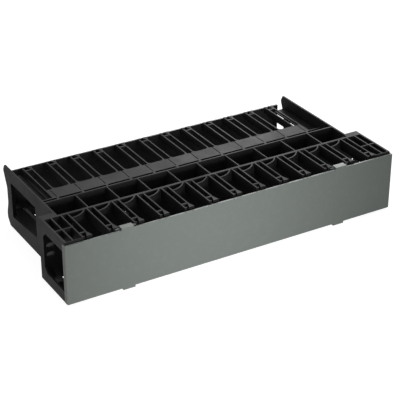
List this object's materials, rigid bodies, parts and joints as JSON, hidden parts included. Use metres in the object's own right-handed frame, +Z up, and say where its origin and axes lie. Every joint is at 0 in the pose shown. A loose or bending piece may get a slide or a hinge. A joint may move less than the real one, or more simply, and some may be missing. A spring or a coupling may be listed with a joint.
{
  "type": "horizontal cable manager",
  "caption": "Front and rear horizontal cable manager for a 19 inch rack: slotted plastic ducts with fingers above and below, open middle cells, side arms and flat covers.",
  "frame": {"origin": "centre of the footprint, on the surface that the manager stands on", "axes": "+X along the width from the left ear to the right ear seen from the front, +Y from the front cover to the rear cover, +Z up"},
  "size_m": [0.4864, 0.234, 0.087],
  "materials": {
    "body": "black moulded plastic with a fine satin texture",
    "front_cover": "black moulded plastic with a smooth satin face",
    "rear_cover": "black moulded plastic with a satin face"
  },
  "bodies": {
    "manager": {"front_duct": "body", "middle_frame": "body", "rear_duct": "body", "rear_cover": "rear_cover"},
    "cover": {"front_cover": "front_cover"}
  },
  "joints": [
    {"name": "cover_hinge", "type": "hinge", "parent": "manager", "child": "cover", "pos_m": [0, -0.1094, 0.0836], "axis": [-1, 0, 0], "range_deg": [0, 110]}
  ]
}
